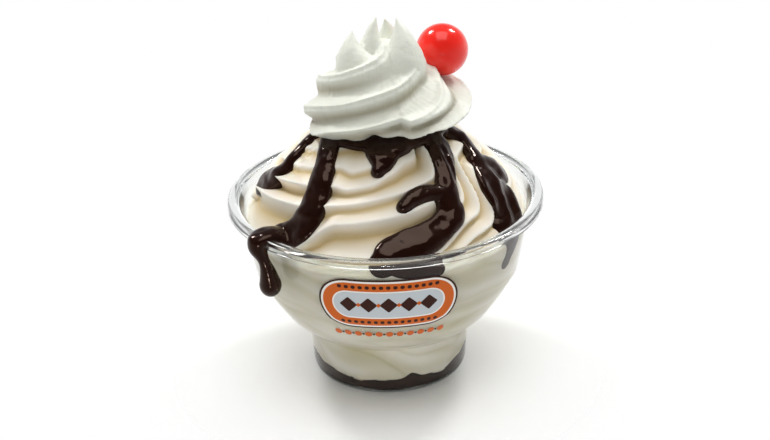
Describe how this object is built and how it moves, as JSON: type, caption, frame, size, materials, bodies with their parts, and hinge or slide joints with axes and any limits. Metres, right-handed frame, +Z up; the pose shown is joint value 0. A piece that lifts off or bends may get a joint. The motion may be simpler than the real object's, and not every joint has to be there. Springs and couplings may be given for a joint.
{
  "type": "hot fudge sundae",
  "caption": "Soft-serve sundae in a clear footed cup: fudge in the foot, a ridged ice cream mound, poured hot fudge, a whipped cream swirl and a cherry.",
  "frame": {"origin": "centre of the cup's foot, on the surface that the cup stands on", "axes": "+Z up along the cup's axis; -Y towards the side that is seen first, with the fudge drip on its left; +X towards the cherry"},
  "size_m": [0.105, 0.105, 0.1218],
  "materials": {
    "clear_plastic": "clear moulded plastic, glossy",
    "cup_print": "printed ink under gloss",
    "hot_fudge": "wet glossy sauce",
    "vanilla_ice_cream": "smooth soft-serve, slightly moist",
    "whipped_cream": "fine matt foam",
    "maraschino_cherry": "wet glossy fruit"
  },
  "bodies": {
    "root": {"cup": "clear_plastic", "fudge_layer": "hot_fudge", "ice_cream": "vanilla_ice_cream", "fudge_topping": "hot_fudge", "whipped_cream": "whipped_cream", "cherry": "maraschino_cherry"}
  },
  "joints": []
}
